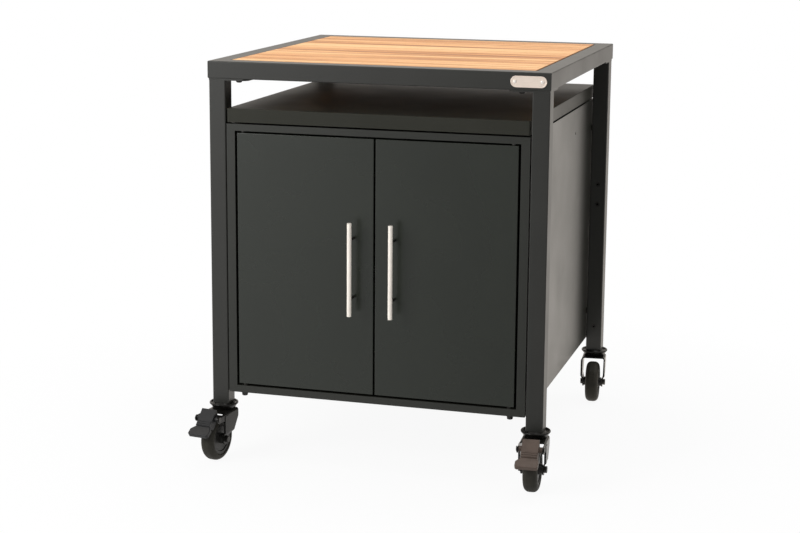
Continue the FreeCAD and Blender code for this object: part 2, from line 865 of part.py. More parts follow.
race = new_body("swivel_race")
revolve(race, [(race_inner, dish_top - size.race_height), (race_outer, dish_top - size.race_height),
               (race_outer, dish_top), (race_inner, dish_top)])
place(race, -leg_x, -leg_y, 0)
keep(group("swivel_race_set", four_corners([race])), "swivel_races")

# Face frame of the cabinet: channels of folded sheet, two stiles with a head and a sill between them

face_half = cabinet_side - size.stile_width
sill_top = cabinet_bottom + size.sill_height
head_bottom = cabinet_top - size.head_height
pivot_x = face_half - size.door_side_reveal - size.pivot_inset
pivot_y = -(cabinet_front - size.door_thickness / 2)
pivot_radius = size.pivot_diameter / 2


def channel(low, high):
    """A folded channel's section, open to the back, from low to high along its first axis."""
    wall = size.cabinet_sheet
    front, back = -cabinet_front, -face_back
    return [(low, front), (high, front), (high, back), (high - wall, back), (high - wall, front + wall),
            (low + wall, front + wall), (low + wall, back), (low, back)]


stile = new_body("stile")
extrude(stile, "XY_Plane", [channel(-cabinet_side, -face_half)], cabinet_bottom, cabinet_top - cabinet_bottom)


def cross_channel(name, low, high):
    """The head or the sill, with holes for the door pins."""
    body = new_body(name)
    section = [(depth, height) for height, depth in channel(low, high)]
    extrude(body, "YZ_Plane", [section], -face_half, 2 * face_half)
    return body


pin_holes = [(side * pivot_x, pivot_y, pivot_radius + size.bolt_gap) for side in (-1, 1)]
head = cross_channel("face_head", head_bottom, cabinet_top)
extrude(head, "XY_Plane", pin_holes, head_bottom - PAST, size.cabinet_sheet + 2 * PAST, cut=True)
sill = cross_channel("face_sill", cabinet_bottom, sill_top)
extrude(sill, "XY_Plane", pin_holes, sill_top - size.cabinet_sheet - PAST,
        size.cabinet_sheet + 2 * PAST, cut=True)
keep(group("face_frame_set", left_and_right([stile]) + [head, sill]), "face_frame")

# Cabinet panels

for name, side in (("cabinet_side_left", -1), ("cabinet_side_right", 1)):
    panel = new_body(name)
    panel_start = side * (cabinet_side - size.cabinet_sheet / 2) - size.cabinet_sheet / 2
    outline = rectangle(-face_back, panel_back, cabinet_bottom, cabinet_top)
    extrude(panel, "YZ_Plane", [outline], panel_start, size.cabinet_sheet)
    holes = [(end * cabinet_bolt_y, z, cabinet_bolt_radius + size.bolt_gap)
             for end in (-1, 1) for z in cabinet_bolt_heights]
    extrude(panel, "YZ_Plane", holes, panel_start - PAST, size.cabinet_sheet + 2 * PAST, cut=True)
    keep(panel, name)

back_panel = new_body("cabinet_back")
back_outline = rectangle(-cabinet_side, cabinet_side, cabinet_bottom, cabinet_top)
extrude(back_panel, "XZ_Plane", [back_outline], -leg_outer_y, size.cabinet_sheet)
keep(back_panel, "cabinet_back")

floor_outline = rectangle(-cabinet_inside, cabinet_inside, -face_back, panel_back)
base_panel = new_body("cabinet_base")
extrude(base_panel, "XY_Plane", [floor_outline], cabinet_bottom, size.cabinet_sheet)
keep(base_panel, "cabinet_base")
top_panel = new_body("cabinet_top")
extrude(top_panel, "XY_Plane", [floor_outline], cabinet_top - size.cabinet_sheet, size.cabinet_sheet)
keep(top_panel, "cabinet_top")

# Bolts that hold the cabinet to the legs, each with a washer in the gap between panel and leg

cabinet_fasteners = []
for bolt_z in cabinet_bolt_heights:
    bolt = new_body("cabinet_bolt")
    shank = size.cabinet_sheet + size.cabinet_leg_gap + size.cabinet_bolt_reach
    revolve(bolt, dome_head(size.cabinet_bolt_head / 2, size.cabinet_bolt_head_height,
                            cabinet_bolt_radius, shank))
    place(bolt, -cabinet_inside, -cabinet_bolt_y, bolt_z, ALONG_Y, 90)
    washer = new_body("cabinet_washer")
    extrude(washer, "YZ_Plane", [(-cabinet_bolt_y, bolt_z, size.washer_diameter / 2),
                                 (-cabinet_bolt_y, bolt_z, cabinet_bolt_radius + size.bolt_gap)],
            -leg_inner_x, size.cabinet_leg_gap)
    cabinet_fasteners += [bolt, washer]
keep(group("cabinet_fastener_set", four_corners(cabinet_fasteners)), "cabinet_bolts")

foot = new_body("cabinet_foot")
foot_radius = size.foot_diameter / 2
revolve(foot, [(0, -size.foot_height), (foot_radius - size.foot_taper, -size.foot_height, size.foot_taper),
               (foot_radius, 0), (0, 0)])
place(foot, -cabinet_side + size.foot_inset_side, -cabinet_front + size.foot_inset_front, cabinet_bottom)
keep(group("cabinet_foot_set", four_corners([foot])), "cabinet_feet")

# Lid: a folded pan over the cabinet, open underneath, on rubber pads

lid_half_x = leg_inner_x - size.lid_leg_gap


def lid_outline(inset, radius=None):
    """The lid's outline in plan, drawn in by the inset."""
    half_x, half_y = lid_half_x - inset, leg_outer_y - inset
    return rectangle(-half_x, half_x, -half_y, half_y, radius)


lid = new_body("lid")
extrude(lid, "XY_Plane", [lid_outline(0, size.lid_corner)], lid_bottom, size.lid_height)
round_edges(lid, size.lid_edge, lambda edge: at_height(edge, lid_top))
extrude(lid, "XY_Plane", [lid_outline(size.lid_return)], lid_bottom - PAST, size.cabinet_sheet + 2 * PAST,
        cut=True)
extrude(lid, "XY_Plane", [lid_outline(size.cabinet_sheet, size.lid_corner - size.cabinet_sheet)],
        lid_bottom + size.cabinet_sheet, size.lid_height - 2 * size.cabinet_sheet, cut=True)
keep(lid, "lid")

lid_pad = new_body("lid_pad")
pad_radius = size.lid_pad_diameter / 2
pad_inset = size.lid_return - size.cabinet_sheet - pad_radius
extrude(lid_pad, "XY_Plane", [(-lid_half_x + pad_inset, -leg_outer_y + pad_inset, pad_radius)], cabinet_top,
        size.lid_gap)
keep(group("lid_pad_set", four_corners([lid_pad])), "lid_pads")

# Shelf: a loose folded pan on four brackets that are welded to the sides

shelf_top = cabinet_bottom + size.shelf_height
shelf_bottom = shelf_top - size.shelf_lip
shelf_half = cabinet_inside - size.shelf_clearance
shelf_front = -face_back + size.shelf_from_doors
shelf_rear = panel_back - size.shelf_clearance
shelf = new_body("shelf")
extrude(shelf, "XY_Plane", [rectangle(-shelf_half, shelf_half, shelf_front, shelf_rear)], shelf_bottom,
        size.shelf_lip)
sheet_inset = size.cabinet_sheet
shelf_cavity = rectangle(-shelf_half + sheet_inset, shelf_half - sheet_inset, shelf_front + sheet_inset,
                         shelf_rear - sheet_inset)
extrude(shelf, "XY_Plane", [shelf_cavity], shelf_bottom - PAST, size.shelf_lip - sheet_inset + PAST, cut=True)
keep(shelf, "shelf")

brackets = []
for bracket_end in (shelf_front + size.bracket_inset, shelf_rear - size.bracket_inset):
    bracket = new_body("shelf_bracket")
    wall = -cabinet_inside
    web, toe = wall + size.bracket_thickness, wall + size.bracket_width
    foot, under = shelf_bottom - size.bracket_width, shelf_bottom - size.bracket_thickness
    section = [(wall, foot), (web, foot), (web, under), (toe, under), (toe, shelf_bottom),
               (wall, shelf_bottom)]
    extrude(bracket, "XZ_Plane", [section], -bracket_end - size.bracket_length / 2, size.bracket_length)
    brackets.append(bracket)
keep(group("shelf_bracket_set", left_and_right(brackets)), "shelf_brackets")

# Magnetic catches under the cabinet top, just behind the closed doors

catch = new_body("magnet_catch")
catch_front = -face_back + size.end_gap
catch_top = cabinet_top - size.cabinet_sheet
catch_outline = rectangle(-size.catch_from_middle - size.catch_width, -size.catch_from_middle, catch_front,
                          catch_front + size.catch_depth, size.cabinet_sheet)
extrude(catch, "XY_Plane", [catch_outline], catch_top - size.catch_height, size.catch_height)
keep(group("magnet_catch_pair", left_and_right([catch])), "magnet_catches")

# Door pins: shouldered pins fixed in the sill and the head, which the doors turn on

door_bottom = sill_top + size.door_bottom_reveal
door_top = head_bottom - size.door_top_reveal
shoulder_radius = size.pivot_shoulder / 2
lower_pin = new_body("lower_door_pin")
revolve(lower_pin, [(0, -size.pivot_spigot), (pivot_radius, -size.pivot_spigot), (pivot_radius, 0),
                    (shoulder_radius, 0), (shoulder_radius, size.door_bottom_reveal - size.end_gap),
                    (pivot_radius, size.door_bottom_reveal - size.end_gap),
                    (pivot_radius, size.door_bottom_reveal + size.pivot_depth),
                    (0, size.door_bottom_reveal + size.pivot_depth)])
place(lower_pin, -pivot_x, pivot_y, sill_top)
upper_pin = new_body("upper_door_pin")
revolve(upper_pin, [(0, size.pivot_spigot), (pivot_radius, size.pivot_spigot), (pivot_radius, 0),
                    (shoulder_radius, 0), (shoulder_radius, size.end_gap - size.door_top_reveal),
                    (pivot_radius, size.end_gap - size.door_top_reveal),
                    (pivot_radius, -size.door_top_reveal - size.pivot_depth),
                    (0, -size.door_top_reveal - size.pivot_depth)])
place(upper_pin, -pivot_x, pivot_y, head_bottom)
keep(group("door_pin_set", left_and_right([lower_pin, upper_pin])), "door_pins")

# Doors: folded pans with bushes in the outer corners, closed at the back by a liner

door_back = cabinet_front - size.door_thickness
door_outer = face_half - size.door_side_reveal
door_inner = size.door_gap / 2
handle_x = door_inner + size.handle_from_edge
handle_y = -(cabinet_front + size.handle_standoff)
handle_bottom = door_bottom + size.handle_from_bottom
handle_middle = handle_bottom + size.handle_length / 2
post_heights = [handle_middle - size.post_spacing / 2, handle_middle + size.post_spacing / 2]
post_radius = size.post_diameter / 2
stud_radius = size.post_stud_diameter / 2


def door_outline(side, inset):
    """The door's outline from the front, drawn in by the inset."""
    ends = sorted([side * (door_outer - inset), side * (door_inner + inset)], key=lambda length: length.value)
    return rectangle(ends[0], ends[1], door_bottom + inset, door_top - inset)


def door(name, side):
    """One door, a pan of thin sheet."""
    body = new_body(name)
    skin = size.door_sheet
    extrude(body, "XZ_Plane", [door_outline(side, 0)], door_back, size.door_thickness)
    round_edges(body, size.door_edge, lambda edge: at_depth(edge, -cabinet_front))
    extrude(body, "XZ_Plane", [door_outline(side, skin)], door_back + skin, size.door_thickness - 2 * skin,
            cut=True)
    extrude(body, "XZ_Plane", [door_outline(side, size.door_flange)], door_back - PAST, skin + 2 * PAST,
            cut=True)
    ends = sorted([side * (pivot_x - size.bush_width / 2), side * (door_outer - skin / 2)],
                  key=lambda length: length.value)
    bush = rectangle(ends[0], ends[1], -cabinet_front + skin / 2, -door_back - skin)
    extrude(body, "XY_Plane", [bush], door_bottom + skin / 2, size.bush_height)
    extrude(body, "XY_Plane", [bush], door_top - skin / 2 - size.bush_height, size.bush_height)
    bore = (side * pivot_x, pivot_y, pivot_radius + size.pin_gap)
    depth = size.pivot_depth + size.running_gap
    extrude(body, "XY_Plane", [bore], door_bottom - PAST, depth + PAST, cut=True)
    extrude(body, "XY_Plane", [bore], door_top - depth, depth + PAST, cut=True)
    studs = [(side * handle_x, z, stud_radius + size.bolt_gap) for z in post_heights]
    extrude(body, "XZ_Plane", studs, cabinet_front - skin - PAST, skin + 2 * PAST, cut=True)
    return body


def liner(name, side):
    """The sheet that closes the back of a door."""
    body = new_body(name)
    extrude(body, "XZ_Plane", [door_outline(side, size.door_flange + size.liner_gap)], door_back,
            size.door_sheet)
    return body


def handle_bar(name, side):
    """The round bar that is pulled."""
    body = new_body(name)
    extrude(body, "XY_Plane", [(side * handle_x, handle_y, size.handle_diameter / 2)], handle_bottom,
            size.handle_length)
    round_edges(body, size.handle_end_round, lambda edge: isinstance(edge.Curve, Part.Circle))
    return body


def handle_posts(name, side):
    """Two posts from the door to the bar, each with a stud through the door's skin."""
    body = new_body(name)
    extrude(body, "XZ_Plane", [(side * handle_x, z, post_radius) for z in post_heights], cabinet_front,
            size.handle_standoff)
    extrude(body, "XZ_Plane", [(side * handle_x, z, stud_radius) for z in post_heights],
            cabinet_front - size.post_stud_length, size.post_stud_length + PAST)
    bar = [(side * handle_x, handle_y, size.handle_diameter / 2)]
    extrude(body, "XY_Plane", bar, handle_bottom, size.handle_length, cut=True)
    return body


for name, side in (("left", -1), ("right", 1)):
    keep(door(f"door_{name}", side), f"door_{name}")
    keep(liner(f"door_{name}_liner", side), f"door_{name}_liner")
    keep(handle_bar(f"handle_{name}_bar", side), f"handle_{name}_bar")
    keep(handle_posts(f"handle_{name}_posts", side), f"handle_{name}_posts")

# Casters
#
# Each is drawn about its own stem, with the wheel trailing towards the front, and then turned. In
# the side outlines the first place runs backwards, so the trail and all reaches to the front are
# negative there.

axle_radius = size.axle_diameter / 2
axle_y = -size.trail
bend_high = wheel_radius + size.fork_bend_high
bend_low = wheel_radius + size.fork_bend_low
fork_half = size.fork_width / 2
foot_half = size.fork_foot_width / 2
end_half = size.fork_end_width / 2
pin_y = -size.pedal_pivot_reach
pin_z = wheel_radius + size.pedal_pivot_rise
pin_radius = size.pedal_pin_diameter / 2
ear = size.pedal_ear_radius
arm_front = axle_y - end_half
rear_y = size.fork_rear_reach
front_y = -size.fork_front_reach
crown_front = -size.fork_crown_reach


def fork_side_outline(braked):
    """The outline of a fork arm from the side, with an ear for the pedal pin on a braked one."""
    above = crown_top + PAST
    arm_rear = axle_y + end_half
    outline = [
        (arm_rear, wheel_radius - end_half, end_half - size.pin_gap),
        (arm_rear, bend_low),
        (axle_y + size.fork_heel_reach, bend_high, size.fork_sheet),
        (rear_y, wheel_radius + size.fork_heel_rise, end_half),
        (rear_y, above),
    ]
    if braked:
        outline += [
            (pin_y + ear, above),
            (pin_y - ear, pin_z + ear, ear - size.pin_gap),
            (pin_y - ear, pin_z - ear, ear - size.pin_gap),
            (arm_front, pin_z - ear, ear / 2),
        ]
    else:
        outline += [
            (front_y, above),
            (arm_front, bend_low + end_half / 2, end_half),
        ]
    return outline + [(arm_front, wheel_radius - end_half, end_half - size.pin_gap)]


def fork(name, braked):
    """A fork bent from sheet: the crown, and two arms that joggle inwards to the axle."""
    body = new_body(name)
    thickness = size.fork_sheet
    foot = wheel_radius - end_half - PAST
    section = [
        (fork_half, crown_top, 2 * thickness),
        (fork_half, bend_high),
        (foot_half, bend_low),
        (foot_half, foot),
        (foot_half - thickness, foot),
        (foot_half - thickness, bend_low),
        (fork_half - thickness, bend_high),
        (fork_half - thickness, crown_bottom, thickness),
    ]
    section += [(-corner[0],) + corner[1:] for corner in reversed(section)]
    front_end = -(pin_y - ear) + PAST if braked else size.trail + end_half + PAST
    extrude(body, "XZ_Plane", [section], -rear_y - PAST, front_end + rear_y + PAST)
    frame = rectangle(-front_end - 2 * PAST, rear_y + 3 * PAST, foot - 2 * PAST, crown_top + 3 * PAST)
    extrude(body, "YZ_Plane", [frame, fork_side_outline(braked)], -fork_half - PAST,
            size.fork_width + 2 * PAST, cut=True)
    if braked:
        # the crown stops short of the pedal, and only the ears go on
        opening = rectangle(thickness - fork_half, fork_half - thickness, -front_end - PAST, crown_front)
        extrude(body, "XY_Plane", [opening], pin_z - ear, 3 * ear, cut=True)
    # the lower raceway cup, pressed up from the crown
    lip = raceway_radius - size.raceway_bead / 2
    cup_top = bead_bottom - size.running_gap
    cup = new_sketch(body, "XZ_Plane")
    draw_loop(cup, [(king_radius + size.pin_gap, crown_bottom), (neck_radius, crown_bottom),
                    (lip, cup_top), (lip - thickness, cup_top), (race_outer + thickness, crown_top),
                    (king_radius + size.pin_gap, crown_top)])
    ring = body.newObject("PartDesign::Revolution", f"{name}_cup")
    ring.Profile = cup
    ring.ReferenceAxis = (cup, ["V_Axis"])
    ring.Angle = 360
    document.recompute()
    kingpin_hole = (0, 0, king_radius + size.pin_gap)
    extrude(body, "XY_Plane", [kingpin_hole], crown_bottom - PAST, thickness + 2 * PAST, cut=True)
    # the axle holes, and a pressed rib down the outside of each arm
    rib_front = arm_front + size.fork_rib_margin
    rib = rectangle(rib_front, rib_front + size.fork_rib_width, bend_high, crown_bottom - thickness)
    for start in (-fork_half - size.fork_rib_height, fork_half - thickness / 2):
        extrude(body, "YZ_Plane", [rib], start, size.fork_rib_height + thickness / 2)
    holes = [(axle_y, wheel_radius, axle_radius + size.pin_gap)]
    if braked:
        holes.append((pin_y, pin_z, pin_radius + size.pin_gap))
    extrude(body, "YZ_Plane", holes, -fork_half - 2 * PAST, size.fork_width + 4 * PAST, cut=True)
    return body


def hexagon(across_y, up_z, width):
    """The corners of a hexagon by its width across flats."""
    radius = width / math.sqrt(3)
    angles = [math.pi / 3 * step for step in range(6)]
    return [(across_y + radius * math.cos(angle), up_z + radius * math.sin(angle)) for angle in angles]


def axle_set(name, braked):
    """The axle bolt and its nut, and on a braked caster the riveted pin of the pedal."""
    bolt = new_body(f"{name}_bolt")
    nut_end = foot_half + size.axle_nut_height
    extrude(bolt, "YZ_Plane", [(axle_y, wheel_radius, axle_radius)], -foot_half, foot_half + nut_end)
    extrude(bolt, "YZ_Plane", [hexagon(axle_y, wheel_radius, size.axle_hex)],
            -foot_half - size.axle_head_height, size.axle_head_height)
    nut = new_body(f"{name}_nut")
    extrude(nut, "YZ_Plane", [hexagon(axle_y, wheel_radius, size.axle_hex),
                              (axle_y, wheel_radius, axle_radius + size.pin_gap)],
            foot_half, size.axle_nut_height)
    pieces = [bolt, nut]
    if braked:
        pin = new_body(f"{name}_pin")
        extrude(pin, "YZ_Plane", [(pin_y, pin_z, pin_radius)], -fork_half - PAST, size.fork_width + 2 * PAST)
        head = (pin_y, pin_z, size.pedal_pin_head / 2)
        for start in (-fork_half - size.pedal_pin_head_height, fork_half):
            extrude(pin, "YZ_Plane", [head], start, size.pedal_pin_head_height)
        pieces.append(pin)
    return pieces


def wheel_core(name):
    """The moulded wheel: a long boss, a thick disc and a rim with a groove between, bored for the axle."""
    body = new_body(name)
    bore = axle_radius + size.pin_gap
    boss_half = foot_half - size.fork_sheet - size.running_gap
    boss = size.boss_diameter / 2
    web = size.web_thickness / 2
    rim_half = size.core_width / 2
    outer = size.core_diameter / 2
    inner = outer - size.core_lip
    disc = inner - size.core_groove_width
    groove = web - size.core_groove_depth
    right = [(boss_half, bore), (boss_half, boss - size.core_draft), (web, boss), (web, disc), (groove, disc),
             (groove, inner), (rim_half, inner), (rim_half, outer)]
    revolve_across(body, right + [(-corner[0], corner[1]) for corner in reversed(right)])
    return body


def tyre(name):
    """The rubber tyre, with round shoulders."""
    body = new_body(name)
    half = size.wheel_width / 2
    inner = size.core_diameter / 2
    seat = size.core_width / 2
    side = inner + half - seat
    shoulder = smallest(size.tyre_shoulder, wheel_radius - side - size.pin_gap, half - size.pin_gap)
    revolve_across(body, [(-seat, inner), (seat, inner), (half, side), (half, wheel_radius, shoulder),
                          (-half, wheel_radius, shoulder), (-half, side)])
    return body


# The pedal is drawn in a frame of its own, turned round so that the first place runs down its slope
# and the second runs in towards the wheel
HALF_TURN = 180
wheel_back = size.pedal_pivot_reach - size.trail
wheel_along = size.pedal_pivot_rise * sine(size.pedal_slope) - wheel_back * cosine(size.pedal_slope)
wheel_away = size.pedal_pivot_rise * cosine(size.pedal_slope) + wheel_back * sine(size.pedal_slope)


def add_lip(body, along, away):
    """Adds the lip, which starts at a place of the pedal's own frame and slopes less than the plate.

    It is drawn in plan on its underside: the first place runs across, and the second up its slope.
    """
    slope, lean = size.pedal_slope, size.pedal_lip_slope
    depth, reach = size.pedal_lip_depth, size.pedal_lip_length
    root_y = pin_y - along * cosine(slope) + away * sine(slope)
    root_z = pin_z - along * sine(slope) - away * cosine(slope)
    half = size.pedal_width / 2
    left, right = -half - size.pedal_lip_side, half + size.pedal_lip_far_side
    corner = size.pedal_lip_round
    outline = [(-half, size.pedal_wall), (-half, 0), (left, -size.pedal_lip_side, corner),
               (left, -reach, corner), (right, -reach, corner),
               (right, -2 * size.pedal_lip_far_side, corner / 2), (half, 0), (half, size.pedal_wall)]
    extrude(body, "XZ_Plane", [outline], -root_y - depth * sine(lean), depth,
            centre=(as_length(0), root_z - depth * cosine(lean)), tilt=90 - lean, about=-ALONG_X)
    top = Vector(0, root_y.value, root_z.value)
    normal = Vector(0, -sine(lean).value, cosine(lean).value)
    round_edges(body, size.pedal_lip_edge, lambda edge: in_plane(edge, top, normal))


def pedal(name):
    """A moulded brake pedal: a ribbed plate, a flatter lip, two cheeks on the pin and the shoe."""
    body = new_body(name)
    where = {"centre": (pin_y, pin_z), "tilt": HALF_TURN + size.pedal_slope}
    half = size.pedal_width / 2
    wall = size.pedal_wall
    face = -size.pedal_standoff
    under = face + wall
    upper, lower = -size.pedal_upper, size.pedal_lower
    cheek = size.pedal_cheek
    add_lip(body, lower, face + wall / 2)
    hood = [(upper, face, wall / 2), (lower, face, wall / 4), (lower, cheek, wall),
            (-cheek, cheek, size.pedal_cheek_round), (upper, under, wall / 2)]
    extrude(body, "YZ_Plane", [hood], -half, size.pedal_width, **where)
    inside = [(upper - PAST, under), (lower - wall, under), (lower - wall, cheek + PAST),
              (upper - PAST, cheek + PAST)]
    extrude(body, "YZ_Plane", [inside], -half + wall, size.pedal_width - 2 * wall, cut=True, **where)
    shoe_middle = (size.pedal_shoe_near + size.pedal_shoe_far) / 2
    span = shoe_middle - wheel_along
    shoe_face = wheel_away - root(wheel_radius * wheel_radius - span * span) - size.pedal_shoe_gap
    shoe = rectangle(size.pedal_shoe_near, size.pedal_shoe_far, under - wall / 2, shoe_face)
    extrude(body, "YZ_Plane", [shoe], -half + wall / 2, size.pedal_width - wall, **where)
    for step in range(round(size.pedal_ridge_count.value)):
        near = lower - wall / 2 - step * size.pedal_ridge_pitch
        ridge = rectangle(near - size.pedal_ridge, near, face - size.pedal_ridge_height, face + wall / 2)
        extrude(body, "YZ_Plane", [ridge], -half + wall / 2, size.pedal_width - wall, **where)
    boss_half = fork_half - size.fork_sheet - size.running_gap
    for start in (-boss_half, half - wall):
        extrude(body, "YZ_Plane", [(0, 0, size.pedal_boss / 2)], start, boss_half - half + wall, **where)
    bore = (0, 0, pin_radius + size.pin_gap)
    extrude(body, "YZ_Plane", [bore], -boss_half - PAST, 2 * boss_half + 2 * PAST, cut=True, **where)
    return body


for corner, (side, end) in CORNERS.items():
    braked = end < 0
    turn = getattr(size, f"turn_{corner}")
    stand = (side * leg_x, end * leg_y, 0, ALONG_Z, turn)
    caster = f"caster_{corner}"
    fork_body = fork(f"{caster}_fork", braked)
    place(fork_body, *stand)
    keep(fork_body, f"{caster}_fork")
    axle_pieces = axle_set(f"{caster}_axle", braked)
    for piece in axle_pieces:
        place(piece, *stand)
    keep(group(f"{caster}_axle_set", axle_pieces), f"{caster}_axle")
    hub_x = side * leg_x + size.trail * sine(turn)
    hub_y = end * leg_y - size.trail * cosine(turn)
    core = wheel_core(f"wheel_{corner}_core")
    place(core, hub_x, hub_y, wheel_radius, ALONG_Z, turn)
    keep(core, f"wheel_{corner}_core")
    rubber = tyre(f"wheel_{corner}_tyre")
    place(rubber, hub_x, hub_y, wheel_radius, ALONG_Z, turn)
    keep(rubber, f"wheel_{corner}_tyre")
    if braked:
        pedal_body = pedal(f"{caster}_pedal")
        place(pedal_body, *stand)
        keep(pedal_body, f"{caster}_pedal")

# Checks, then the files

document.recompute()
for item in document.Objects:
    if "Invalid" in item.State or "Error" in item.State:
        raise ValueError(f"{item.Label} did not build: {item.State}")
for node in nodes:
    if node.Shape.isNull() or not node.Shape.isValid() or not node.Shape.Solids:
        raise ValueError(f"{node.Label} has no valid solid")
os.makedirs("parts", exist_ok=True)
for node in nodes:
    node.Shape.exportStep(f"parts/{node.Label}.step")
    print(node.Label, len(node.Shape.Solids), "solids", round(node.Shape.Volume / 1000, 2), "cm3")
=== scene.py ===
import math

import bmesh
import bpy
from mathutils import Matrix, Vector


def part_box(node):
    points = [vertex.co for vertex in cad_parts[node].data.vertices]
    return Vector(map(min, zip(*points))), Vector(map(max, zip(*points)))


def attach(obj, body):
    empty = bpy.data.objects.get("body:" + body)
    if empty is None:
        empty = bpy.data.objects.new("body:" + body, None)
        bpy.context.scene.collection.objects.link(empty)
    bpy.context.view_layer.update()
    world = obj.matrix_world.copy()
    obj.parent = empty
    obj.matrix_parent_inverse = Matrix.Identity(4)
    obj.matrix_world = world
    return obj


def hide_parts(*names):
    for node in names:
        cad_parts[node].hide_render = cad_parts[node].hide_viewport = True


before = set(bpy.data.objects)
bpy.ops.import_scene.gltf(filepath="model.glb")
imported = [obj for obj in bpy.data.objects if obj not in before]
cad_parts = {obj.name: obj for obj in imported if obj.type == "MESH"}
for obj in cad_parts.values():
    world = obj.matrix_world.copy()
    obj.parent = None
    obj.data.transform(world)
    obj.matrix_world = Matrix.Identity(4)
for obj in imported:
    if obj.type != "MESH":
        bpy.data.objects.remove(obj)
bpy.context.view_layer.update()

# Frame: rails and legs
#
# Square tube of mild steel, mitred and welded at the corners of the top frame, with the welds ground
# flush. It is powder coated in charcoal.


class Value:
    """A socket in a finish. Plain arithmetic on it adds the nodes that work it out."""

    def __init__(self, wiring, socket):
        self.wiring = wiring
        self.socket = socket

    def work(self, operation, first, second):
        return self.wiring.node("Math", {"operation": operation}, {0: first, 1: second})

    def __add__(self, other):
        return self.work("ADD", self, other)

    def __radd__(self, other):
        return self.work("ADD", other, self)

    def __sub__(self, other):
        return self.work("SUBTRACT", self, other)

    def __rsub__(self, other):
        return self.work("SUBTRACT", other, self)

    def __mul__(self, other):
        return self.work("MULTIPLY", self, other)

    def __rmul__(self, other):
        return self.work("MULTIPLY", other, self)


class Wiring:
    """The node tree of a finish or of the surroundings."""

    def __init__(self, tree):
        self.tree = tree

    def node(self, kind, settings, sockets, output=0):
        """Adds a node: its type, then its settings, then values or links for its sockets."""
        made = self.tree.nodes.new(f"ShaderNode{kind}")
        for name, setting in settings.items():
            if name == "stops":
                self.set_stops(made.color_ramp.elements, setting)
            else:
                setattr(made, name, setting)
        for name, value in sockets.items():
            self.feed(made.inputs[name], value)
        return Value(self, made.outputs[output])

    def set_stops(self, elements, stops):
        while len(elements) < len(stops):
            elements.new(1.0)
        for element, (position, colour) in zip(elements, stops):
            element.position = position
            element.color = (*colour, 1.0)

    def feed(self, socket, value):
        if isinstance(value, Value):
            self.tree.links.new(value.socket, socket)
        elif socket.type == "RGBA" and len(value) == 3:
            socket.default_value = (*value, 1.0)
        else:
            socket.default_value = value

    def noise(self, place, scale, detail=2.0, roughness=0.5):
        """Cloudy noise from 0 to 1, with the given number of clouds to the metre."""
        sockets = {"Vector": place, "Scale": scale, "Detail": detail, "Roughness": roughness}
        return self.node("TexNoise", {}, sockets)

    def fit(self, value, low, high, to_low=0.0, to_high=1.0):
        """Fits a value from one range into another, and holds it at the ends."""
        return self.node("MapRange", {}, {0: value, 1: low, 2: high, 3: to_low, 4: to_high})

    def mix(self, share, first, second, way="MIX"):
        """Mixes two colours by a share of the second."""
        return self.node("Mix", {"data_type": "RGBA", "blend_type": way}, {0: share, 6: first, 7: second}, 2)

    def stretch(self, place, scale):
        """Draws a pattern out, so that a small scale makes it long."""
        return self.node("Mapping", {}, {"Vector": place, "Scale": scale})


class Finish(Wiring):
    """A material round one shader. What is the same all over is set on the shader itself."""

    def __init__(self, name, **constants):
        self.material = bpy.data.materials.new(name)
        self.material.use_nodes = True
        super().__init__(self.material.node_tree)
        self.shader = self.tree.nodes["Principled BSDF"]
        for socket, value in constants.items():
            self.feed(self.shader.inputs[socket.replace("_", " ")], value)
        self.place = self.node("TexCoord", {}, {}, "Object")

    def show(self, **values):
        """Feeds what changes over the surface into the shader."""
        for socket, value in values.items():
            self.feed(self.shader.inputs[socket.replace("_", " ")], value)

    def relief(self, *layers):
        """Raises the surface by layers of (height from 0 to 1, depth in metres)."""
        normal = None
        for height, depth in layers:
            sockets = {"Height": height, "Distance": depth, "Strength": 1.0}
            if normal is not None:
                sockets["Normal"] = normal
            normal = self.node("Bump", {}, sockets)
        self.show(Normal=normal)


COAT_RELIEF = 0.000015


def powder_coat(name, colour, roughness, density=1.45):
    """A satin powder coat: a fine grain over the flow of the melted powder."""
    coat = Finish(name, Metallic=0.0, IOR=density)
    clouds = coat.noise(coat.place, 7.0, 3.0)
    flow = coat.noise(coat.place, 420.0, 1.0)
    grain = coat.noise(coat.place, 2100.0, 2.0, 0.6)
    tone = coat.fit(clouds + 0.35 * grain, 0.35, 0.95, 0.90, 1.10)
    grey = coat.node("CombineColor", {}, {0: tone, 1: tone, 2: tone})
    coat.show(Base_Color=coat.mix(1.0, colour, grey, way="MULTIPLY"),
              Roughness=coat.fit(clouds, 0.3, 0.7, roughness - 0.03, roughness + 0.04))
    coat.relief((flow, COAT_RELIEF), (grain, COAT_RELIEF))
    return coat


def finish_node(node, finish):
    """Gives a CAD node its finish."""
    for material_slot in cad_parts[node].material_slots:
        material_slot.material = finish.material


CHARCOAL = (0.019, 0.019, 0.016)
frame_coat = powder_coat("charcoal_powder_coat", CHARCOAL, roughness=0.42)
for rail in ("front", "rear", "left", "right"):
    finish_node(f"top_rail_{rail}", frame_coat)
CORNERS = ("front_left", "front_right", "rear_left", "rear_right")
for corner in CORNERS:
    finish_node(f"leg_{corner}", frame_coat)

# Corner plates and ledges
#
# The plates are cut from 4 mm sheet, welded on the leg tops and bolted up into the rails. The ledges
# are angle strips welded inside the rails. Both wear the coat of the frame.

MERGE = 0.000002
FLAT = math.radians(1.0)
SHARP = math.radians(40.0)


